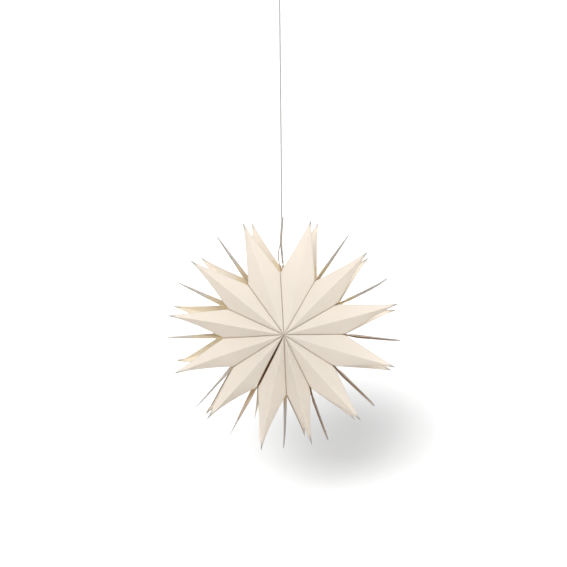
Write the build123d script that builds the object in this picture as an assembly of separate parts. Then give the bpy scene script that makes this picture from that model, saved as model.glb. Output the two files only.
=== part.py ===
"""Hanging paper star: folded paper sleeves, glued side by side and fanned into a ring, on a cord.

Each sleeve is a flat paper tube, closed at its inner end and cut in a zigzag at its outer end.
Its two side folds become a front and a back point of the star. The middle of each face is glued
to the next sleeve, and the two middles stand out together as a thin spike.

Millimetres, +Z up, front towards -Y. The origin is the top of the hanging loop, on its inside.
"""
import os
from math import acos, atan2, cos, degrees, hypot, radians, sin, tan

import numpy as np
from build123d import *

# Flat sleeve, lengths from its closed inner end
SLEEVE_WIDTH = 95.0      # between the two side folds
SIDE_POINT = 153.5       # to the points on the side folds
SPIKE_POINT = 152.0      # to the point in the middle of each face
NOTCH = 78.0             # to the cut notches between the points
NOTCH_SPARE = 0.95       # facet width at the notch beyond what the widest sleeve spans
PAPER = 0.3              # thickness of the paper
GLUE_FILM = 0.1          # between two glued faces

# The fan in degrees, counter-clockwise as seen from the front, from the unglued slit onwards
SLIT_DIRECTION = 241.4
OPENINGS = [28.5, 23.5, 31.0, 32.5, 30.0, 30.5, 34.0, 33.0, 30.0, 28.0, 29.0, 30.0]
TWIST = 3.2              # turn of the star's front against its back
SPIKE_LEANS = {2: -2.0, 3: -3.5, 4: -1.5, 5: -0.7, 6: -1.3, 7: -0.8, 11: 8.3}     # bent spikes, by boundary
SLIT_WIDTH = 3.0         # between the two end faces, at the notches

# Hanging cord, held between the two leaves of one spike
CORD_BOUNDARY = 7        # the boundary between sleeves whose spike holds the cord
CORD_DIAMETER = 2.0
CORD_CLEARANCE = 0.15    # to each leaf at the spike's tip
LEAF_SPARE = 1.2         # further spread of the leaves at the spike's foot
CORD_GRIP = 62.0         # length of cord between the leaves
CORD_RUN = 290.0         # from the spike's tip to the knot
KNOT_DIAMETER = 6.4
KNOT_LENGTH = 9.0
# Loop above the knot, in the star's plane, from the knot's middle up and back into it
LOOP_ROUTE = [
    (-4.0, 8.0), (-7.5, 17.5), (-7.5, 24.0), (-3.1, 28.4),
    (3.1, 28.4), (7.5, 24.0), (7.5, 17.5), (4.5, 8.0), (2.3, 0.0),
]
ARC_SHARE = 0.45         # of the shorter run at a corner, taken up by the corner's arc

SLEEVES = len(OPENINGS)
HALF_WIDTH = SLEEVE_WIDTH / 2
HALF_TWIST = radians(TWIST) / 2
HALF_FILM = GLUE_FILM / 2
HALF_OPENINGS = [radians(180 * opening / sum(OPENINGS)) for opening in OPENINGS]
# Each facet is wide enough at the notch for the sleeve that is opened furthest
NOTCH_INSET = NOTCH * sin(max(HALF_OPENINGS)) + NOTCH_SPARE
GLUE_SLOPE = NOTCH_INSET / NOTCH
# Normals closer than this share of their spread count as one face where a corner is set inwards
FLAT_CORNER = 0.12


def boundary(number):
    """Direction of the plane between two sleeves; number 0 is the slit."""
    return radians(SLIT_DIRECTION) + 2 * sum(HALF_OPENINGS[:number])


def star_point(radius, direction, depth, aside=0.0):
    """A point of the star about its centre: depth towards the front, aside across the direction."""
    x = radius * cos(direction) - aside * sin(direction)
    z = radius * sin(direction) + aside * cos(direction)
    return np.array([x, -depth, z])


def ridge_slope(half_opening):
    """How far the side fold of an opened sleeve leans back, so that its facets keep their width."""
    reach = hypot(cos(half_opening), GLUE_SLOPE)
    return atan2(GLUE_SLOPE, cos(half_opening)) - acos(1 / reach)


def face_spread(number):
    """Half the gap between the two faces at a boundary: at the notches, at the middle, at the tip."""
    if number % SLEEVES == 0:
        return SLIT_WIDTH / 2, SLIT_WIDTH / 2, HALF_FILM
    if number == CORD_BOUNDARY:
        grip = CORD_DIAMETER / 2 + CORD_CLEARANCE
        return HALF_FILM, grip + LEAF_SPARE, grip
    return HALF_FILM, HALF_FILM, HALF_FILM


def face_corners(number, side):
    """Front notch, back notch, middle and spike tip of a sleeve's face at a boundary.

    side is +1 for the face counter-clockwise of the boundary and -1 for the one clockwise of it.
    """
    direction = boundary(number)
    lean = radians(SPIKE_LEANS.get(number % SLEEVES, 0.0))
    at_notch, at_middle, at_tip = (side * half_gap for half_gap in face_spread(number))
    depth = HALF_WIDTH - NOTCH_INSET
    return {
        "front_notch": star_point(NOTCH, direction + HALF_TWIST, depth, at_notch),
        "back_notch": star_point(NOTCH, direction - HALF_TWIST, -depth, at_notch),
        "middle": star_point(NOTCH, direction, 0.0, at_middle),
        "spike": star_point(SPIKE_POINT, direction + lean, 0.0, at_tip),
    }


def sleeve_corners(number):
    """All the fold and cut corners of one opened sleeve, by name."""
    half = HALF_OPENINGS[number]
    heading = boundary(number) + half
    slope = ridge_slope(half)
    tip_radius = SIDE_POINT * cos(slope)
    tip_depth = HALF_WIDTH - SIDE_POINT * sin(slope)
    # The closed inner end stands clear of the star's axis by the glue film
    inner = HALF_FILM / sin(half)
    corners = {
        "front_end": star_point(inner, heading, HALF_WIDTH),
        "middle_end": star_point(inner, heading, 0.0),
        "back_end": star_point(inner, heading, -HALF_WIDTH),
        "front_tip": star_point(tip_radius, heading + HALF_TWIST, tip_depth),
        "back_tip": star_point(tip_radius, heading - HALF_TWIST, -tip_depth),
    }
    for name, near, side in (("first", number, 1), ("last", number + 1, -1)):
        for corner, point in face_corners(near, side).items():
            corners[name + "_" + corner] = point
    return corners


def sleeve_facets():
    """The flat facets of a sleeve as triples of corner names, and its cut rim in order."""
    facets = []
    for face in ("first", "last"):
        front, back = face + "_front_notch", face + "_back_notch"
        middle, spike = face + "_middle", face + "_spike"
        facets += [
            ("front_end", front, "front_tip"),
            ("front_end", "middle_end", front),
            ("middle_end", middle, front),
            (middle, spike, front),
            (middle, back, spike),
            ("middle_end", back, middle),
            ("middle_end", "back_end", back),
            ("back_end", "back_tip", back),
        ]
    rim = [
        "front_tip", "first_front_notch", "first_spike", "first_back_notch",
        "back_tip", "last_back_notch", "last_spike", "last_front_notch",
    ]
    return facets, rim


def outward_normal(triangle, inside):
    """Unit normal of a triangle, on the side away from a point inside the sleeve."""
    normal = np.cross(triangle[1] - triangle[0], triangle[2] - triangle[0])
    normal /= np.linalg.norm(normal)
    return normal if normal @ (triangle[0] - inside) > 0 else -normal


def inner_corners(corners, facets, inside):
    """Each corner moved inwards, one paper thickness from every facet that meets there."""
    normals = {name: [] for name in corners}
    for facet in facets:
        normal = outward_normal([corners[name] for name in facet], inside)
        for name in facet:
            normals[name].append(normal)
    moved = {}
    for name, around in normals.items():
        inverse = np.linalg.pinv(np.array(around), rcond=FLAT_CORNER)
        moved[name] = corners[name] - PAPER * inverse.sum(axis=1)
    return moved


def flat_face(points):
    """Flat face with the given corners."""
    return Face(Wire.make_polygon([Vector(*point) for point in points], close=True))


def paper_sleeve(number):
    """One opened sleeve: outer and inner side of every facet, joined along the cut rim."""
    corners = sleeve_corners(number)
    facets, rim = sleeve_facets()
    inside = star_point(NOTCH, boundary(number) + HALF_OPENINGS[number], 0.0)
    inner = inner_corners(corners, facets, inside)
    faces = []
    for facet in facets:
        faces.append(flat_face([corners[name] for name in facet]))
        faces.append(flat_face([inner[name] for name in facet]))
    for here, there in zip(rim, rim[1:] + rim[:1]):
        faces.append(flat_face([corners[here], corners[there], inner[there]]))
        faces.append(flat_face([corners[here], inner[there], inner[here]]))
    return Solid(Shell(faces))


def cord_line():
    """Where the cord runs about the star's centre: x of its straight run, foot, tip and knot."""
    grip = face_corners(CORD_BOUNDARY, 1)["spike"] + face_corners(CORD_BOUNDARY, -1)["spike"]
    tip = grip / 2
    return tip[0], tip[2] - CORD_GRIP, tip[2], tip[2] + CORD_RUN


def corner_radii(route):
    """Largest tangent arc at each corner of a route."""
    radii = []
    for before, corner, after in zip(route, route[1:], route[2:]):
        run_in = corner - before
        run_out = after - corner
        half_turn = radians(run_in.get_angle(run_out)) / 2
        radii.append(ARC_SHARE * min(run_in.length, run_out.length) / tan(half_turn))
    return radii


def hanging_cord():
    """Cord from between the leaves straight up to its knot, with the loop that it hangs by."""
    x, foot, _, knot = cord_line()
    route = [Vector(x, 0, foot), Vector(x, 0, knot)]
    route += [Vector(x + across, 0, knot + up) for across, up in LOOP_ROUTE]
    radii = corner_radii(route)
    path = FilletPolyline(*route, radius=radii)
    section = Plane(origin=path @ 0, z_dir=path % 0) * Circle(CORD_DIAMETER / 2)
    tube = sweep(section, path=path)
    knot_middle = x + LOOP_ROUTE[-1][0] / 2
    knot_body = Pos(knot_middle, 0, knot) * Cylinder(KNOT_DIAMETER / 2, KNOT_LENGTH)
    knot_body = fillet(knot_body.edges().filter_by(GeomType.CIRCLE), KNOT_DIAMETER / 4)
    print("cord: length", round(path.length, 1), "radii", [round(radius, 1) for radius in radii])
    print("cord: volume", round(tube.volume, 1), "section by length",
          round(section.area * path.length, 1))
    return knot_body + tube


def loop_top():
    """Inside of the loop's top, about the star's centre."""
    x, _, _, knot = cord_line()
    return Vector(x, 0, knot + max(up for _, up in LOOP_ROUTE) - CORD_DIAMETER / 2)


def build():
    """Every piece by its name, with the origin at the loop's top."""
    pieces = {f"paper_sleeve_{n + 1:02d}": paper_sleeve(n) for n in range(SLEEVES)}
    pieces["hanging_cord"] = hanging_cord()
    to_frame = Pos(*(-loop_top()))
    return {name: to_frame * piece for name, piece in pieces.items()}


os.makedirs("parts", exist_ok=True)
for node, shape in build().items():
    export_step(shape, f"parts/{node}.step")
print("star: centre", [round(c, 2) for c in -loop_top()], "notch inset", round(NOTCH_INSET, 2))
print("ridges lean back", [round(degrees(ridge_slope(half)), 1) for half in HALF_OPENINGS])
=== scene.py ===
"""Hanging paper star: folded paper sleeves in a ring, with front, back and middle points, on a cord.

Metres, +Z up, front towards -Y, in the frame of the CAD part.
"""

from math import atan2, cos, exp, hypot, pi, radians, remainder, sin

import bmesh
import bpy
from mathutils import Matrix, Vector, noise


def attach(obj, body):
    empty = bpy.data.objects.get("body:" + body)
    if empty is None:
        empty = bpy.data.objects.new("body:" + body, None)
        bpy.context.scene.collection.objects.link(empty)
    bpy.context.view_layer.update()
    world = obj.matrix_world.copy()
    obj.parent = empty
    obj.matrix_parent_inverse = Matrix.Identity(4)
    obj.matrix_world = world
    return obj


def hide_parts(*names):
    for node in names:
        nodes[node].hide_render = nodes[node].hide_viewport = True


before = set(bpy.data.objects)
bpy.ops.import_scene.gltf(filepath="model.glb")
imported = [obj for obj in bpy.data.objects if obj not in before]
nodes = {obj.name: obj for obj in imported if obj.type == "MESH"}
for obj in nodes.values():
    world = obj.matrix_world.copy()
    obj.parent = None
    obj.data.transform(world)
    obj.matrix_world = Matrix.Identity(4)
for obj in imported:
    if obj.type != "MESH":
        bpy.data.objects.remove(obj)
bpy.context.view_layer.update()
sleeve_names = sorted(name for name in nodes if name.startswith("paper_sleeve"))

# Paper
PAPER = 0.0003               # thickness
CUTS = 32                    # cuts along every fold and cut edge of a sleeve
FOLD_SOFTENING = 0.5         # how far the folds are smoothed
FOLD_ANGLE = 0.12            # facets that meet at more than this angle have a fold between them
FOLD_RUB = 0.4               # share of a fold's wear that the paper beside it has
SHARP_ANGLE = radians(50)    # edges beyond this angle stay sharp
HALF_WIDTH = 0.0475          # from the middle of a sleeve to its side folds
NOTCH = 0.078                # from the star's middle to the cut notches
POINT = 0.150                # from the star's middle to the points
GLUE_SLOPE = 0.3045          # how fast the front fold of a glued face falls back from the middle
HALF_TWIST = radians(1.6)    # turn of the front folds against the middle of a glued face
WAVE = 0.0006                # how far the paper waves
WAVE_LENGTH = 0.055
WAVE_SEED = 1                # keeps the waves alike on every run
FOLD_GAP = 0.0002            # how far a fold stands off the glued face
SLIT_BOW = 0.0006            # how far each side of the unglued slit bows out
SLIT_PINCH = 0.0004          # how far each side of the slit comes back in at the notches
CLOSING = radians(22)        # how far the facets of a point fold shut at its tip
STRAIGHT_BACK = (11, radians(2.0))      # the boundary whose back lies right behind its front

# How corners are told apart
INNER_ENDS = 0.02            # the closed inner ends lie within this of the star's middle
RIM_EDGE = 0.005             # facets of the cut rim have an edge shorter than this
TIP_RADIUS = 0.9 * POINT     # tips lie further out than this
NEAR_NOTCH = 0.004           # notches lie within this of their radius
SPIKE_DEPTH = 0.005          # tips of spikes lie within this of the star's middle plane
OUTSIDE_LEAN = 0.1           # faces of back points that face backwards more than this are outsides

# How far the bends of the glued faces reach
STILL_MIDDLE = 0.003         # about the star's middle, where the paper keeps its place
FACE_REACH = 0.02            # from a glued face into its sleeve
SLIT_REACH = 0.012           # from the slit
FOLD_REACH = 0.002           # from the fold of a glued face
NOTCH_REACH = 0.005          # from the notches, along the star
GAPE_REACH = 0.003           # from the leaves of a spike

# Papers in the order of a sleeve's materials; the first four are also the parts of a sleeve
# They are copies of one paper that differ only in see-through share and its tint, given part by part to
# paint light and shade
GLUED, FRONT, BACK, SPIKE, GREY_SPIKE = range(5)

# Spikes by boundary, from the slit on counter-clockwise: how far the free edges of the two leaves
# stand apart, in millimetres, and how fast that fades towards the middle of a leaf, how far the
# leaves turn edge-on, how far the spike bends to the side, its tip curls and reaches out, in
# millimetres; then how far out it is golden, as painted glow, how grey its cut edges are and from
# where on they are grey, as painted shade, and from where on its paper looks colourless, as shares
# of its length (never at 2)
SPIKES = [
    (-1.4, 0.5, -0.4, 0.7, 0.0, 2.0, 0.60, 1.0, -0.3, 0.70),
    (0.3, 0.8, 0.1, -1.3, -0.8, 0.5, 0.10, 0.90, 0.0, 0.22),
    (0.9, 0.35, 1.0, 0.3, 0.0, 0.8, 0.08, 0.90, -0.1, 2.0),
    (1.2, 0.35, 1.0, -2.2, 0.0, 0.5, 0.10, 0.90, -0.1, 2.0),
    (0.8, 0.4, 1.0, -1.2, 1.0, 0.5, 0.10, 0.90, 0.0, 2.0),
    (1.2, 0.4, 0.8, -1.2, 3.0, 0.3, 0.10, 0.90, 0.0, 0.35),
    (0.25, 1.0, -0.5, 0.0, 0.0, 2.6, 0.12, 0.50, 0.20, 0.40),
    (0.0, 1.0, 1.0, 0.0, 0.0, 0.0, 0.10, 0.40, -0.3, 0.10),
    (0.25, 1.0, 0.0, 0.5, 0.0, 1.6, 0.15, 0.50, 0.20, 0.40),
    (0.25, 1.0, 0.1, 0.0, 0.0, 1.8, 0.15, 0.50, 0.20, 0.45),
    (0.2, 1.0, 0.0, -1.4, 0.0, 2.5, 0.15, 0.25, 0.3, 0.55),
    (0.5, 2.0, -0.3, 0.3, 0.0, 0.5, 0.01, 0.60, 0.0, 0.10),
]
DARK_SPIKES = (0, 2, 3, 4)              # spikes that take the glued paper, as brown as the glued faces: painted shade
GOLDEN_BACKS = (9, 10)                  # sleeves whose back points take the spike paper, as golden as the spikes: painted glow
SHADED_BACKS = (3, 4, 5)                # sleeves whose back points take the front paper and let less light through: painted shade
EDGED_BACKS = (1, 11)                   # sleeves whose back points show only as a dark edge: painted shade
TIP_SPLAY = 0.0004           # how far the two leaves of a spike part at its tip
SPLAY_DEPTH = 0.001          # how far from the middle of a leaf they part in full
LEAF_TURN = 0.0917           # how far a leaf is turned out of its edge-on lie at the notches
LEAF_TURN_RUN = 0.25         # share of a leaf's length over which it turns
# The unglued leaf at the slit: its length as a share, how far it lies aside, in metres, and how far it
# leans back and is turned, as slopes
LOOSE_LEAF = (0.62, 0.0205, 0.45, 0.05)
# The spike with the cord in it gapes like an eye: share of the way to its tip, how far a leaf's cut
# edge and its middle stand off, and how far the spike sways to the right, in millimetres
EYE = [
    (0.00, 0.1, 2.3, 0.0), (0.03, 1.3, 0.5, -0.2), (0.07, 2.3, 0.2, -0.45), (0.12, 2.6, 0.35, -0.7),
    (0.15, 2.6, 2.4, -0.9), (0.22, 2.5, 3.3, -1.6), (0.30, 2.3, 3.3, -2.0), (0.40, 2.0, 2.8, -2.1),
    (0.47, 0.9, 2.0, -1.6), (0.54, 0.1, 1.5, -1.1), (0.69, 0.1, 1.35, -0.9), (0.87, 0.2, 1.3, 0.2),
    (1.00, 0.4, 1.2, 0.5),
]
CORD_SPIKE = 7               # the boundary of that spike
FOOT_OF_EYE = -0.0003        # where its foot stands beside the cord
LEAF_TIP = 0.0005            # least half width that a leaf is taken to have
# Points by sleeve: how far the front tip bends to the side and out, then the back tip, how far the
# back point bows to the side, how far its very tip hooks, in millimetres, and how far the front
# point rolls, in degrees
POINTS = [
    (2.9, 2.4, 6.3, 0.3, 2.2, 0.0, 10), (0.6, -4.5, 0.4, -6.5, 0.0, 0.0, 0),
    (0.7, -1.3, 1.1, 0.5, 0.0, 0.0, 0), (0.0, 0.3, 0.7, 1.4, 0.0, 0.0, -16),
    (1.0, 0.9, -0.4, 1.0, 0.0, 0.0, -12), (0.0, 0.4, 0.0, -2.2, 0.0, 0.0, 0),
    (0.0, 2.0, -1.7, 1.9, 0.0, 0.0, 0), (1.0, 2.8, -0.7, 0.6, 0.0, 0.0, 0),
    (1.2, 2.0, 0.6, -1.9, 0.0, 0.0, 0), (2.0, 1.3, 0.4, 1.7, 0.0, 0.0, 12),
    (2.7, -0.2, -0.4, -2.0, 0.0, -3.0, 12), (-0.9, -1.0, 0.2, 2.6, -1.2, 0.0, 25),
]

# Painted shade (grey) and painted glow (gold) on the paper, as shares
GREY_RUN = 0.3               # length over which the grey of a spike's cut edges grows
INNER_GREY = 0.4             # grey between a spike's cut edges, of that at the edges
INNER_GREY_RUN = (0.2, 0.7)  # where along the spike it grows
TIP_GREY_RUN = (0.85, 0.98)  # where along a front or back point its tip turns grey
EDGE_GREY = 0.9              # painted shade on a back point's edge that shows dark
EDGE_GREY_SPREAD = 0.75      # share of the grey that the paper beside it has, on the edged backs
GOLDEN_BACK = 0.22           # how far out a back point is golden, as painted glow
GOLDEN_FOOT = 0.25           # how far out a back point has the golden paper of the spikes, as painted glow

# Cord
CORD_DIAMETER = 0.002
KNOT = -0.0274               # height of the knot's middle
KNOT_ENTRY = 0.009           # how far below that the cord straightens
YARN_TURNS = 120             # turns of the strands over the length of the cord
YARN_STRANDS = 3
# Places of the cord from its foot between the leaves up to where it runs straight
CORD_FOOT_ROUTE = [
    (0.0001, -0.3794), (0.0000, -0.3740), (-0.0004, -0.3690), (-0.0010, -0.3640), (-0.0012, -0.3560),
    (-0.0010, -0.3440), (0.0002, -0.3315),
    (0.0006, -0.3240), (-0.0008, -0.3145), (-0.0002, -0.3030), (0.0, -0.2850),
]
# Loop above the knot, from the knot's middle up and back into it
LOOP_ROUTE = [
    (-0.0040, 0.0080), (-0.0075, 0.0175), (-0.0075, 0.0240), (-0.0031, 0.0284),
    (0.0031, 0.0284), (0.0075, 0.0240), (0.0075, 0.0175), (0.0045, 0.0080), (0.0023, 0.0),
]

# Picture
PICTURE = 567
PIXEL = 0.0013095            # metres per pixel at the star's middle
STAR_IN_PICTURE = (284.3, 332.3)
VIEW_DISTANCE = 1.5
VIEW_TURN = radians(0.7)     # camera to the right of the star's axis
VIEW_RISE = radians(1.5)     # camera above the star's axis
VIEW_ROLL = radians(0.6)     # picture turned counter-clockwise
SHADOW_FROM_STAR = Vector((0.092, 0.41, -0.188))      # middle of the shadow on the backdrop


def star_middle():
    """Middle of the ring, where the closed inner ends of the sleeves meet."""
    corners = [vertex.co for name in sleeve_names for vertex in nodes[name].data.vertices]
    rough = sum(corners, Vector()) / len(corners)
    ends = [c for c in corners if hypot(c.x - rough.x, c.z - rough.z) < INNER_ENDS]
    return sum(ends, Vector()) / len(ends)


MIDDLE = star_middle()
SHADOW = MIDDLE + SHADOW_FROM_STAR


def about_star(point):
    """Radius, direction and depth towards the front of a point of the star."""
    x, z = point.x - MIDDLE.x, point.z - MIDDLE.z
    return hypot(x, z), atan2(z, x), MIDDLE.y - point.y


def new_piece(name, bm, materials, slot):
    """Object from a finished bmesh, which is freed."""
    for face in bm.faces:
        face.smooth = True
    mesh = bpy.data.meshes.new(name)
    bm.to_mesh(mesh)
    bm.free()
    piece = bpy.data.objects.new(name, mesh)
    bpy.context.scene.collection.objects.link(piece)
    for material in materials:
        mesh.materials.append(material)
    if slot:
        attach(piece, "root")
    return piece


# Materials


def add_node(tree, kind, inputs=None, **settings):
    """Shader node with its settings and its input values or links."""
    node = tree.nodes.new(kind)
    for name, value in settings.items():
        setattr(node, name, value)
    for name, value in (inputs or {}).items():
        socket = node.inputs[name]
        if isinstance(value, bpy.types.NodeSocket):
            tree.links.new(value, socket)
        else:
            socket.default_value = value
    return node


def mix_colour(tree, factor, first, second):
    """Colour between two colours."""
    node = add_node(tree, "ShaderNodeMix", data_type="RGBA")
    for name, value in (("Factor_Float", factor), ("A_Color", first), ("B_Color", second)):
        socket = next(s for s in node.inputs if s.identifier == name)
        if isinstance(value, bpy.types.NodeSocket):
            tree.links.new(value, socket)
        else:
            socket.default_value = value
    return next(s for s in node.outputs if s.identifier == "Result_Color")


def fibre_group():
    """Fine fibres and cloudy mottling of paper and yarn, as two masks and a height."""
    group = bpy.data.node_groups.new("fibres", "ShaderNodeTree")
    for name, kind in (("Vector", "NodeSocketVector"), ("Fibre Scale", "NodeSocketFloat"),
                       ("Cloud Scale", "NodeSocketFloat")):
        group.interface.new_socket(name, in_out="INPUT", socket_type=kind)
    for name in ("Fibres", "Clouds", "Height"):
        group.interface.new_socket(name, in_out="OUTPUT", socket_type="NodeSocketFloat")
    given = add_node(group, "NodeGroupInput")
    made = add_node(group, "NodeGroupOutput")
    clouds = add_node(group, "ShaderNodeTexNoise", {
        "Vector": given.outputs["Vector"], "Scale": given.outputs["Cloud Scale"],
        "Detail": 4.0, "Roughness": 0.55})
    warp = add_node(group, "ShaderNodeTexNoise", {
        "Vector": given.outputs["Vector"], "Scale": 120.0, "Detail": 2.0})
    bent = add_node(group, "ShaderNodeVectorMath", {
        0: warp.outputs["Color"], 1: (0.03, 0.03, 0.03)}, operation="MULTIPLY")
    moved = add_node(group, "ShaderNodeVectorMath", {
        0: given.outputs["Vector"], 1: bent.outputs[0]}, operation="ADD")
    strands = []
    for stretch in ((1.0, 1.0, 0.22), (0.25, 1.0, 1.0)):
        long_way = add_node(group, "ShaderNodeMapping", {"Vector": moved.outputs[0], "Scale": stretch})
        strand = add_node(group, "ShaderNodeTexNoise", {
            "Vector": long_way.outputs[0], "Scale": given.outputs["Fibre Scale"],
            "Detail": 3.0, "Roughness": 0.6})
        strands.append(strand.outputs["Fac"])
    fibres = add_node(group, "ShaderNodeMath", {0: strands[0], 1: strands[1]}, operation="MAXIMUM")
    ramp = add_node(group, "ShaderNodeMapRange", {
        "Value": fibres.outputs[0], "From Min": 0.45, "From Max": 0.75})
    height = add_node(group, "ShaderNodeMath", {0: strands[0], 1: strands[1]}, operation="ADD")
    group.links.new(ramp.outputs[0], made.inputs["Fibres"])
    group.links.new(clouds.outputs["Fac"], made.inputs["Clouds"])
    group.links.new(height.outputs[0], made.inputs["Height"])
    return group


def blank_material(name):
    """Material with an empty node tree, its shader and its output."""
    material = bpy.data.materials.new(name)
    material.use_nodes = True
    tree = material.node_tree
    tree.nodes.clear()
    shader = add_node(tree, "ShaderNodeBsdfPrincipled")
    out = add_node(tree, "ShaderNodeOutputMaterial")
    tree.links.new(shader.outputs[0], out.inputs["Surface"])
    return material, tree, shader, out


def paper_material(fibres, name, see_through, tint):
    """Cream uncoated paper: mottled, fibrous, rubbed lighter along the folds, darker at cut edges,
    golden deep between its neighbours as painted glow, and grey on spike edges and edged back points as
    painted shade, with grey point tips.

    see_through is the share of light that passes the paper there, and tint its colour; the papers
    differ only in these, which are given part by part for the light and shade they show, so they are
    painted light and shade.
    """
    material, tree, shader, out = blank_material(name)
    place = add_node(tree, "ShaderNodeTexCoord").outputs["Object"]
    grain = add_node(tree, "ShaderNodeGroup", node_tree=fibres)
    tree.links.new(place, grain.inputs["Vector"])
    grain.inputs["Fibre Scale"].default_value = 900.0
    grain.inputs["Cloud Scale"].default_value = 28.0
    cream = mix_colour(tree, grain.outputs["Clouds"], (0.84, 0.78, 0.70, 1), (0.87, 0.815, 0.745, 1))
    strands = add_node(tree, "ShaderNodeMath", {
        0: grain.outputs["Fibres"], 1: 0.35}, operation="MULTIPLY")
    fibrous = mix_colour(tree, strands.outputs[0], cream, (0.81, 0.745, 0.655, 1))
    fold = add_node(tree, "ShaderNodeAttribute", attribute_name="fold_wear")
    rubbed = add_node(tree, "ShaderNodeMath", {
        0: fold.outputs["Fac"], 1: 0.12}, operation="MULTIPLY")
    worn = mix_colour(tree, rubbed.outputs[0], fibrous, (0.88, 0.835, 0.77, 1))
    cut = add_node(tree, "ShaderNodeAttribute", attribute_name="cut_edge")
    dull = add_node(tree, "ShaderNodeMath", {
        0: cut.outputs["Fac"], 1: 0.45}, operation="MULTIPLY")
    edged = mix_colour(tree, dull.outputs[0], worn, (0.50, 0.45, 0.40, 1))
    # Painted glow: golden where the paper lies deep between its neighbours, near the notches
    deep = add_node(tree, "ShaderNodeAttribute", attribute_name="deep")
    painted_glow_colour = mix_colour(tree, deep.outputs["Fac"], edged, (0.84, 0.69, 0.43, 1))
    # Painted shade: grey on the spikes' cut edges and the edged back points; the same layer greys the
    # point tips
    tip = add_node(tree, "ShaderNodeAttribute", attribute_name="grey_tips_and_painted_shade")
    colour = mix_colour(tree, tip.outputs["Fac"], painted_glow_colour, (0.24, 0.235, 0.23, 1))
    tree.links.new(colour, shader.inputs["Base Color"])
    rough = add_node(tree, "ShaderNodeMapRange", {
        "Value": grain.outputs["Clouds"], "To Min": 0.78, "To Max": 0.92})
    tree.links.new(rough.outputs[0], shader.inputs["Roughness"])
    bump = add_node(tree, "ShaderNodeBump", {
        "Height": grain.outputs["Height"], "Strength": 0.12, "Distance": 0.0003})
    tree.links.new(bump.outputs[0], shader.inputs["Normal"])
    shader.inputs["Specular IOR Level"].default_value = 0.25
    glow = add_node(tree, "ShaderNodeBsdfTranslucent", {"Color": tint})
    sheet = add_node(tree, "ShaderNodeMixShader", {
        0: see_through, 1: shader.outputs[0], 2: glow.outputs[0]})
    tree.links.new(sheet.outputs[0], out.inputs["Surface"])
    return material


def yarn_material(fibres):
    """Light grey twisted yarn: strands that wind round the cord, with fine fibres on them."""
    material, tree, shader, _ = blank_material("cord_yarn")
    grain = add_node(tree, "ShaderNodeGroup", node_tree=fibres)
    coords = add_node(tree, "ShaderNodeTexCoord")
    tree.links.new(coords.outputs["Object"], grain.inputs["Vector"])
    grain.inputs["Fibre Scale"].default_value = 2500.0
    grain.inputs["Cloud Scale"].default_value = 160.0
    along = add_node(tree, "ShaderNodeSeparateXYZ", {0: coords.outputs["UV"]})
    turns = add_node(tree, "ShaderNodeMath", {
        0: along.outputs[0], 1: 2 * pi * YARN_TURNS}, operation="MULTIPLY")
    round_it = add_node(tree, "ShaderNodeMath", {
        0: along.outputs[1], 1: 2 * pi * YARN_STRANDS}, operation="MULTIPLY")
    twist = add_node(tree, "ShaderNodeMath", {
        0: turns.outputs[0], 1: round_it.outputs[0]}, operation="ADD")
    wave = add_node(tree, "ShaderNodeMath", {0: twist.outputs[0]}, operation="SINE")
    strand = add_node(tree, "ShaderNodeMapRange", {"Value": wave.outputs[0], "From Min": -1.0})
    plied = mix_colour(tree, strand.outputs[0], (0.30, 0.29, 0.275, 1), (0.48, 0.47, 0.45, 1))
    hairs = add_node(tree, "ShaderNodeMath", {
        0: grain.outputs["Fibres"], 1: 0.5}, operation="MULTIPLY")
    colour = mix_colour(tree, hairs.outputs[0], plied, (0.60, 0.59, 0.57, 1))
    tree.links.new(colour, shader.inputs["Base Color"])
    rough = add_node(tree, "ShaderNodeMapRange", {
        "Value": grain.outputs["Clouds"], "To Min": 0.8, "To Max": 0.95})
    tree.links.new(rough.outputs[0], shader.inputs["Roughness"])
    height = add_node(tree, "ShaderNodeMath", {
        0: strand.outputs[0], 1: grain.outputs["Height"]}, operation="ADD")
    bump = add_node(tree, "ShaderNodeBump", {
        "Height": height.outputs[0], "Strength": 0.6, "Distance": 0.0003})
    tree.links.new(bump.outputs[0], shader.inputs["Normal"])
    shader.inputs["Sheen Weight"].default_value = 0.2
    return material


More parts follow.
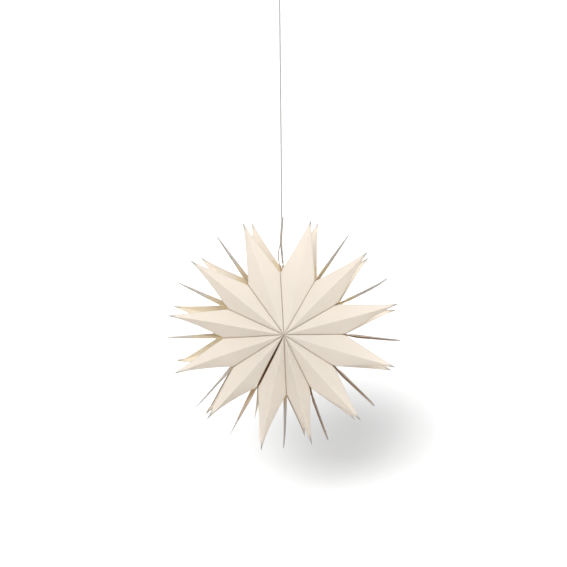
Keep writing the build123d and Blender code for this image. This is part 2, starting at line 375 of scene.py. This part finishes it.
def backdrop_material():
    """White backdrop that keeps the shadow, with a painted glow seen by the camera that grows away from
    the shadow's middle, and can't be seen from behind.
    """
    material, tree, shader, out = blank_material("backdrop_white")
    shader.inputs["Roughness"].default_value = 1.0
    shader.inputs["Specular IOR Level"].default_value = 0.0
    ray = add_node(tree, "ShaderNodeLightPath")
    seen = add_node(tree, "ShaderNodeMath", {
        0: ray.outputs["Is Camera Ray"], 1: ray.outputs["Is Glossy Ray"]}, operation="MAXIMUM")
    seen = add_node(tree, "ShaderNodeMath", {
        0: seen.outputs[0], 1: ray.outputs["Is Transmission Ray"]}, operation="MAXIMUM")
    white = mix_colour(tree, seen.outputs[0], (0.64, 0.64, 0.64, 1), (0.95, 0.95, 0.95, 1))
    tree.links.new(white, shader.inputs["Base Color"])
    # Painted light: camera-seen glow that grows with distance from the shadow's middle, so that only
    # the shadow's core stays grey
    place = add_node(tree, "ShaderNodeTexCoord").outputs["Object"]
    away = add_node(tree, "ShaderNodeVectorMath", {0: place, 1: SHADOW}, operation="DISTANCE")
    glow_by_distance = add_node(tree, "ShaderNodeMapRange", {
        "Value": away.outputs["Value"], "From Min": 0.08, "From Max": 0.34, "To Max": 0.35})
    painted_glow = add_node(tree, "ShaderNodeMath", {
        0: seen.outputs[0], 1: glow_by_distance.outputs[0]}, operation="MULTIPLY")
    shader.inputs["Emission Color"].default_value = (1, 1, 1, 1)
    tree.links.new(painted_glow.outputs[0], shader.inputs["Emission Strength"])
    clear = add_node(tree, "ShaderNodeBsdfTransparent")
    behind = add_node(tree, "ShaderNodeNewGeometry").outputs["Backfacing"]
    choice = add_node(tree, "ShaderNodeMixShader", {
        0: behind, 1: shader.outputs[0], 2: clear.outputs[0]})
    tree.links.new(choice.outputs[0], out.inputs["Surface"])
    return material


# Paper sleeves


def outer_sheet(node):
    """Outer side of a sleeve's solid, as one open sheet of flat facets."""
    bm = bmesh.new()
    bm.from_mesh(node.data)
    bmesh.ops.remove_doubles(bm, verts=bm.verts, dist=1e-6)
    inside = sum((vertex.co for vertex in bm.verts), Vector()) / len(bm.verts)
    spare = []
    for face in bm.faces:
        rim = min(edge.calc_length() for edge in face.edges) < RIM_EDGE
        if rim or face.normal.dot(face.calc_center_median() - inside) < 0:
            spare.append(face)
    bmesh.ops.delete(bm, geom=spare, context="FACES")
    return bm


def name_facets(bm):
    """Marks each facet as part of a glued face, of the front or back point, or of a spike."""
    part = bm.faces.layers.int.new("part")
    for face in bm.faces:
        face[part] = GLUED
        for vertex in face.verts:
            radius, _, depth = about_star(vertex.co)
            if radius > TIP_RADIUS:
                face[part] = SPIKE if abs(depth) < SPIKE_DEPTH else FRONT if depth > 0 else BACK
    return part


def spread_mark(bm, layer, share):
    """Gives the neighbours of marked vertices a share of the mark."""
    marks = {vertex: vertex[layer] for vertex in bm.verts}
    for edge in bm.edges:
        first, last = edge.verts
        first[layer] = max(first[layer], share * marks[last])
        last[layer] = max(last[layer], share * marks[first])


def wave(point):
    """How the paper waves at a place: alike on both sides of a glued face, still at the middle."""
    radius, _, _ = about_star(point)
    steady = min(1.0, radius / NOTCH) ** 1.5
    return WAVE * steady * noise.noise_vector(point / WAVE_LENGTH)


def outwards(direction):
    """Unit vector that leads from the star's middle in a direction."""
    return Vector((cos(direction), 0.0, sin(direction)))


def sideways(direction):
    """Unit vector across a direction, counter-clockwise as seen from the front."""
    return Vector((-sin(direction), 0.0, cos(direction)))


def between(table, at):
    """Row of a table between its rows, by their first column, without that column."""
    for (start, *low), (end, *high) in zip(table, table[1:]):
        if at <= end or (end, *high) == table[-1]:
            share = min(1.0, max(0.0, (at - start) / (end - start)))
            return [a + share * (b - a) for a, b in zip(low, high)]


def fade_in(value, start, end):
    """Smooth rise from 0 to 1."""
    share = min(1.0, max(0.0, (value - start) / (end - start)))
    return share * share * (3 - 2 * share)


def along_point(radius):
    """Share of the way from the notches to the tips."""
    return max(0.0, (radius - NOTCH) / (POINT - NOTCH))


def sleeve_lie(bm):
    """Direction of a sleeve, of its first and its last face, and its front and back tip."""
    corners = [(vertex.co.copy(), *about_star(vertex.co)) for vertex in bm.verts]
    tips = [corner for corner in corners if corner[1] > TIP_RADIUS and abs(corner[3]) > SPIKE_DEPTH]
    front = max(tips, key=lambda tip: tip[3])
    back = min(tips, key=lambda tip: tip[3])
    heading = front[2] + remainder(back[2] - front[2], 2 * pi) / 2
    sides = {-1: [], 1: []}
    for _, radius, direction, depth in corners:
        if abs(radius - NOTCH) < NEAR_NOTCH and abs(depth) > SPIKE_DEPTH:
            turn = remainder(direction - heading, 2 * pi)
            sides[1 if turn > 0 else -1].append(turn)
    first, last = (heading + sum(sides[side]) / len(sides[side]) for side in (-1, 1))
    return heading, first, last, front[0], back[0]


def leaf_spread(depth, spike):
    """How far a spike's leaf stands off the middle of the spike at a depth."""
    return spike[0] / 1000 * min(1.0, abs(depth) / (HALF_WIDTH / 2)) ** spike[1]


def stand_off(point, face, side, boundary):
    """Moves the folds of a face off the next sleeve, wider at the notch; faces at the slit bow away."""
    radius, direction, depth = about_star(point)
    twist = HALF_TWIST * max(-1.0, min(1.0, depth / max(1e-6, GLUE_SLOPE * radius)))
    aside = max(0.0, side * radius * sin(direction - face - twist))
    if radius > NOTCH + NOTCH_REACH or aside > FACE_REACH:
        return Vector()
    reach = 0.0
    if boundary == 0:
        out = min(1.0, radius / NOTCH)
        bow = SLIT_BOW * sin(pi * out ** 0.8) - SLIT_PINCH * out ** 3
        reach = bow * max(0.0, 1 - aside / SLIT_REACH) ** 2
    below = max(0.0, HALF_WIDTH - GLUE_SLOPE * radius - abs(depth))
    reach += FOLD_GAP * min(1.0, radius / STILL_MIDDLE) * exp(-(below + aside) / FOLD_REACH)
    gape = max(0.0, 1 - abs(NOTCH - radius) / NOTCH_REACH) ** 2
    reach += leaf_spread(depth, SPIKES[boundary]) * gape * exp(-aside / GAPE_REACH)
    return sideways(face) * side * reach


def bend_spike(point, face, side, spike):
    """Spreads the free edges of a spike's leaf, turns it edge-on and bends the spike to the side."""
    radius, _, depth = about_star(point)
    share = along_point(radius)
    edge_on, bend, curl, longer = spike[2:6]
    across = side * leaf_spread(depth, spike)
    across -= LEAF_TURN * depth * edge_on * min(1.0, share / LEAF_TURN_RUN)
    across += side * TIP_SPLAY * share * min(1.0, abs(depth) / SPLAY_DEPTH)
    across += (bend * share ** 2 + curl * share ** 6) / 1000
    return sideways(face) * across + outwards(face) * longer * share / 1000


def fold_loose_leaf(point, face):
    """The unglued leaf at the slit, folded aside and back at its foot."""
    radius, _, depth = about_star(point)
    along, aside, back, turned = LOOSE_LEAF
    share = along_point(radius)
    reach = share * (POINT - NOTCH)
    across = aside * share ** 0.75 + turned * depth * min(1.0, share / LEAF_TURN_RUN)
    return outwards(face) * reach * (along - 1) + sideways(face) * across + Vector((0, back * reach, 0))


def close_round_cord(point, side):
    """Place of a leaf beside the cord: apart like an eye near the notch, then round the cord."""
    radius, _, depth = about_star(point)
    share = along_point(radius)
    edge, middle, sway = between(EYE, share)
    to_edge = min(1.0, abs(depth) / max(LEAF_TIP, HALF_WIDTH / 2 * (1 - share)))
    apart = middle + (edge - middle) * to_edge ** 1.5
    line = FOOT_OF_EYE * (1 - share) + sway / 1000
    return Vector((line - side * apart / 1000, point.y, point.z))


def straighten(point, turn, opening, number):
    """Turns the back of one boundary round until it lies behind its front."""
    straight, angle = STRAIGHT_BACK
    if straight not in (number, (number + 1) % len(SPIKES)):
        return Vector()
    from_first = min(1.0, max(0.0, (turn + opening / 2) / opening))
    share = 1 - from_first if number == straight else from_first
    radius, direction, depth = about_star(point)
    return sideways(direction) * radius * angle * share * min(1.0, max(0.0, -depth / (HALF_WIDTH / 2)))


def close_point(point, end, tip, roll):
    """Folds the facets of a point further shut towards its tip, and rolls it about its fold."""
    ridge = (tip - end).normalized()
    across = ridge.cross(Vector((0.0, 1.0, 0.0))).normalized()
    behind = ridge.cross(across)
    if behind.y * (end.y - MIDDLE.y) > 0:
        behind.negate()
    foot = end + ridge * ridge.dot(point - end)
    offset = point - foot
    share = min(1.0, along_point(about_star(point)[0]))
    wide, deep = offset.dot(across), offset.dot(behind)
    side = 1 if wide > 0 else -1
    angle = CLOSING * share ** 1.5 + side * radians(roll) * share
    turned_wide = wide * cos(angle) - side * deep * sin(angle)
    turned_deep = deep * cos(angle) + side * wide * sin(angle)
    return foot + across * turned_wide + behind * turned_deep


def bend_tip(point, heading, aside, out, bow=0.0, hook=0.0):
    """Bends a front or back point to the side, and out or in."""
    share = along_point(about_star(point)[0])
    across = aside * share ** 1.7 + bow * sin(pi * min(1.0, share)) + hook * share ** 12
    return (sideways(heading) * across + outwards(heading) * out * share ** 1.7) / 1000


def shape_sleeve(bm, part, number, lie):
    """Folds, slit, leaves and points of one sleeve, as they have bent in use."""
    heading, first, last, front_tip, back_tip = lie
    *bends, roll = POINTS[number]
    tips = {
        FRONT: (front_tip, HALF_WIDTH, roll, bends[:2]),
        BACK: (back_tip, -HALF_WIDTH, 0, bends[2:]),
    }
    for vertex in bm.verts:
        parts = {face[part] for face in vertex.link_faces}
        turn = remainder(about_star(vertex.co)[1] - heading, 2 * pi)
        if turn < 0:
            face, side, boundary = first, 1, number
        else:
            face, side, boundary = last, -1, (number + 1) % len(SPIKES)
        if SPIKE not in parts:
            place = vertex.co + stand_off(vertex.co, face, side, boundary)
        elif boundary == CORD_SPIKE:
            place = close_round_cord(vertex.co, side)
        elif boundary == 0 and side == 1:
            place = vertex.co + fold_loose_leaf(vertex.co, face)
        else:
            place = vertex.co + bend_spike(vertex.co, face, side, SPIKES[boundary])
        place += straighten(vertex.co, turn, last - first, number)
        for kind, (tip, depth, turned, bend) in tips.items():
            if kind in parts:
                end = MIDDLE - Vector((0.0, depth, 0.0))
                place = close_point(place, end, tip, turned) + bend_tip(place, heading, *bend)
        vertex.co = place


def spike_at(point, number, lie):
    """Number of the spike on a point's side of a sleeve, and if its leaf there is the loose one."""
    first = remainder(about_star(point)[1] - lie[0], 2 * pi) < 0
    return (number if first else number + 1) % len(SPIKES), first and number == 0


def mark_shades(bm, part, number, lie):
    """Marks painted glow, golden where the paper lies deep between its neighbours, and painted shade,
    grey on the spikes' cut edges and on the edged back points, and the grey tips of the points.
    """
    deep = bm.verts.layers.float.new("deep")
    grey = bm.verts.layers.float.new("grey_tips_and_painted_shade")
    for vertex in bm.verts:
        parts = {face[part] for face in vertex.link_faces}
        share = along_point(about_star(vertex.co)[0])
        spike, loose = spike_at(vertex.co, number, lie)
        golden, painted_edge_shade, start, _ = SPIKES[spike][6:]
        if loose:
            continue
        if SPIKE in parts:
            vertex[grey] = painted_edge_shade * fade_in(share, start, start + GREY_RUN)
            if not vertex.is_boundary:
                vertex[grey] *= INNER_GREY * fade_in(share, *INNER_GREY_RUN)
        elif FRONT in parts or BACK in parts:
            vertex[grey] = fade_in(share, *TIP_GREY_RUN)
            # Painted shade: the edge of these back points is greyed dark where it lies in shade
            if number in EDGED_BACKS and vertex.is_boundary and BACK in parts:
                vertex[grey] = EDGE_GREY
        if parts <= {BACK, SPIKE}:
            vertex[deep] = exp(-share / (golden if SPIKE in parts else GOLDEN_BACK))
    if number in EDGED_BACKS:
        spread_mark(bm, grey, EDGE_GREY_SPREAD)


def clean_outsides(bm, part):
    """Leaves the outer sides of the back points in the paper and colour of the front points."""
    deep = bm.verts.layers.float["deep"]
    grey = bm.verts.layers.float["grey_tips_and_painted_shade"]
    for face in bm.faces:
        if face[part] == BACK and face.normal.y > OUTSIDE_LEAN:
            face.material_index = FRONT
            for vertex in face.verts:
                vertex[deep] = vertex[grey] = 0.0


def choose_papers(bm, part, number, lie):
    """Gives each face the paper of its part, apart from some on spikes and back points, which take
    another copy of the paper to paint shade or glow.
    """
    for face in bm.faces:
        face.material_index = face[part]
        middle = face.calc_center_median()
        share = along_point(about_star(middle)[0])
        if face[part] == SPIKE:
            spike, loose = spike_at(middle, number, lie)
            if loose:
                face.material_index = FRONT
            elif share > SPIKES[spike][9]:
                face.material_index = GREY_SPIKE
            elif spike in DARK_SPIKES:
                face.material_index = GLUED
        elif face[part] != BACK:
            continue
        elif number in EDGED_BACKS and any(vertex.is_boundary for vertex in face.verts):
            face.material_index = GLUED
        elif number in GOLDEN_BACKS:
            face.material_index = SPIKE
        elif number in SHADED_BACKS:
            face.material_index = FRONT
        elif share < GOLDEN_FOOT:
            face.material_index = SPIKE


def paper_sleeve(number, name, materials):
    """One sleeve with softened folds, waving paper and a real thickness."""
    bm = outer_sheet(nodes[name])
    part = name_facets(bm)
    lie = sleeve_lie(bm)
    bmesh.ops.subdivide_edges(bm, edges=bm.edges[:], cuts=CUTS, use_grid_fill=True)
    bm.normal_update()
    fold = bm.verts.layers.float.new("fold_wear")
    cut = bm.verts.layers.float.new("cut_edge")
    for edge in bm.edges:
        if edge.is_boundary:
            for vertex in edge.verts:
                vertex[cut] = 0.0 if spike_at(vertex.co, number, lie)[1] else 1.0
        elif edge.calc_face_angle() > FOLD_ANGLE:
            for vertex in edge.verts:
                vertex[fold] = 1.0
    spread_mark(bm, fold, FOLD_RUB)
    mark_shades(bm, part, number, lie)
    choose_papers(bm, part, number, lie)
    soft = [v for v in bm.verts if not v.is_boundary and about_star(v.co)[0] > STILL_MIDDLE]
    bmesh.ops.smooth_vert(bm, verts=soft, factor=FOLD_SOFTENING,
                          use_axis_x=True, use_axis_y=True, use_axis_z=True)
    shape_sleeve(bm, part, number, lie)
    for vertex in bm.verts:
        vertex.co += wave(vertex.co)
    bm.normal_update()
    bmesh.ops.solidify(bm, geom=bm.faces[:], thickness=PAPER)
    bm.normal_update()
    clean_outsides(bm, part)
    for edge in bm.edges:
        edge.smooth = edge.is_manifold and edge.calc_face_angle() < SHARP_ANGLE
    piece = new_piece(name + "_folded", bm, materials, "star_paper")
    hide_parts(name)


# Hanging cord


def cord_yarn(material):
    """The cord from between the leaves up to its knot, and the loop that it hangs by."""
    route = list(CORD_FOOT_ROUTE) + [(0.0, KNOT - KNOT_ENTRY), (0.0, KNOT)]
    route += [(across, KNOT + up) for across, up in LOOP_ROUTE]
    line = bpy.data.curves.new("hanging_cord_yarn", "CURVE")
    line.dimensions = "3D"
    line.bevel_depth = CORD_DIAMETER / 2
    line.bevel_resolution = 4
    line.use_fill_caps = True
    spline = line.splines.new("NURBS")
    spline.points.add(len(route) - 1)
    for point, (x, z) in zip(spline.points, route):
        point.co = (x, 0.0, z, 1.0)
    spline.order_u = 3
    spline.use_endpoint_u = True
    spline.resolution_u = 12
    line.materials.append(material)
    cord = bpy.data.objects.new("hanging_cord_yarn", line)
    bpy.context.scene.collection.objects.link(cord)
    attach(cord, "root")
    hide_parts("hanging_cord")
    return cord


def wound_knot(material):
    """Turns of the same cord, wound round both runs below the loop."""
    turns, steps, pitch, radius = 3, 24, 0.00205, 0.0023
    bm = bmesh.new()
    start = Matrix.Translation((radius, 0.0, -turns * pitch / 2)) @ Matrix.Rotation(pi / 2, 4, "X")
    bmesh.ops.create_circle(bm, cap_ends=False, radius=CORD_DIAMETER / 2, segments=12, matrix=start)
    bmesh.ops.spin(bm, geom=bm.verts[:] + bm.edges[:], cent=(0, 0, 0), axis=(0, 0, 1),
                   dvec=(0, 0, pitch / steps), angle=2 * pi * turns, steps=turns * steps)
    bmesh.ops.holes_fill(bm, edges=[edge for edge in bm.edges if edge.is_boundary], sides=0)
    bmesh.ops.recalc_face_normals(bm, faces=bm.faces)
    bmesh.ops.translate(bm, verts=bm.verts, vec=(LOOP_ROUTE[-1][0] / 2, 0.0, KNOT))
    return new_piece("cord_knot", bm, [material], "cord_yarn")


# Backdrop, light and camera


def backdrop(material):
    """Floor below the star that sweeps up into a wall behind it."""
    bm = bmesh.new()
    wall, floor, curve = 0.78, MIDDLE.z - 0.307, 0.80
    near, top, half_width = -2.5, 2.5, 3.0
    profile = [(near, floor), (wall, floor), (wall, top)]
    line = [bm.verts.new((-half_width, y, z)) for y, z in profile]
    edges = [bm.edges.new(pair) for pair in zip(line, line[1:])]
    grown = bmesh.ops.extrude_edge_only(bm, edges=edges)["geom"]
    far_side = [v for v in grown if isinstance(v, bmesh.types.BMVert)]
    bmesh.ops.translate(bm, verts=far_side, vec=(2 * half_width, 0, 0))
    corner = [edge for edge in bm.edges
              if all(abs(v.co.y - wall) + abs(v.co.z - floor) < 1e-6 for v in edge.verts)]
    bmesh.ops.bevel(bm, geom=corner, offset=curve, affect="EDGES", segments=32, profile=0.5,
                    material=-1)
    bm.normal_update()
    if sum(face.normal.z - face.normal.y for face in bm.faces) < 0:
        bmesh.ops.reverse_faces(bm, faces=bm.faces)
    sweep = new_piece("backdrop", bm, [material], None)


def panel_light(name, toward, distance, size, level, spread=pi):
    """Soft light that shines on the star's middle; level 1 shows a colour as it is written."""
    toward = Vector(toward).normalized()
    data = bpy.data.lights.new(name, "AREA")
    data.shape = "RECTANGLE"
    data.size, data.size_y = size
    data.energy = level * (pi * distance) ** 2
    data.spread = spread
    lamp = bpy.data.objects.new(name, data)
    lamp.visible_camera = False
    lamp.location = MIDDLE + toward * distance
    lamp.rotation_euler = toward.to_track_quat("Z", "Y").to_euler()
    bpy.context.scene.collection.objects.link(lamp)


def room_light(level):
    """Even light from all round, white where the camera sees it."""
    world = bpy.data.worlds.new("studio")
    bpy.context.scene.world = world
    world.use_nodes = True
    tree = world.node_tree
    tree.nodes.clear()
    ray = add_node(tree, "ShaderNodeLightPath")
    strength = add_node(tree, "ShaderNodeMapRange", {
        "Value": ray.outputs["Is Camera Ray"], "To Min": level, "To Max": 1.0})
    sky = add_node(tree, "ShaderNodeBackground", {
        "Color": (1, 1, 1, 1), "Strength": strength.outputs[0]})
    out = add_node(tree, "ShaderNodeOutputWorld")
    tree.links.new(sky.outputs[0], out.inputs["Surface"])


def photo_camera():
    """Camera at the photograph's viewing angle, with the star at its place in the picture."""
    back = Vector((sin(VIEW_TURN) * cos(VIEW_RISE), -cos(VIEW_TURN) * cos(VIEW_RISE), sin(VIEW_RISE)))
    level = Vector((cos(VIEW_TURN), sin(VIEW_TURN), 0.0))
    rise = back.cross(level)
    right = level * cos(VIEW_ROLL) - rise * sin(VIEW_ROLL)
    up = rise * cos(VIEW_ROLL) + level * sin(VIEW_ROLL)
    data = bpy.data.cameras.new("photo_camera")
    data.sensor_width = 36.0
    data.lens = data.sensor_width * VIEW_DISTANCE / (PICTURE * PIXEL)
    camera = bpy.data.objects.new("photo_camera", data)
    aside = (PICTURE / 2 - STAR_IN_PICTURE[0]) * PIXEL
    above = (STAR_IN_PICTURE[1] - PICTURE / 2) * PIXEL
    place = MIDDLE + back * VIEW_DISTANCE + right * aside + up * above
    camera.matrix_world = Matrix.Translation(place) @ Matrix((right, up, back)).transposed().to_4x4()
    bpy.context.scene.collection.objects.link(camera)
    bpy.context.scene.camera = camera


photo_camera()
fibres = fibre_group()
# Copies of one paper that differ in see-through and tint: painted light and shade by part
papers = [
    paper_material(fibres, "paper_glued", 0.25, (0.90, 0.60, 0.28, 1)),
    paper_material(fibres, "paper_front", 0.36, (0.98, 0.94, 0.88, 1)),
    paper_material(fibres, "paper_back", 0.55, (0.99, 0.96, 0.92, 1)),
    paper_material(fibres, "paper_spike", 0.45, (0.99, 0.92, 0.74, 1)),
    paper_material(fibres, "paper_spike_grey", 0.40, (0.95, 0.94, 0.93, 1)),
]
yarn = yarn_material(fibres)

cord = cord_yarn(yarn)
knot = wound_knot(yarn)

noise.seed_set(WAVE_SEED)
for number, sleeve in enumerate(sleeve_names):
    paper_sleeve(number, sleeve, papers)

backdrop(backdrop_material())
room_light(0.42)
panel_light("key_upper_left", (-0.223, -0.870, 0.440), 8.0, (3.6, 2.0), 0.635)
panel_light("fill_right", (0.55, -0.78, 0.30), 2.0, (1.8, 1.8), 0.215)
panel_light("top", (0.25, -0.34, 0.90), 1.8, (1.4, 1.4), 0.13)
panel_light("behind", (0.15, 0.72, 0.60), 0.55, (0.6, 0.4), 0.06, radians(70))
bpy.context.scene.view_settings.view_transform = "Standard"
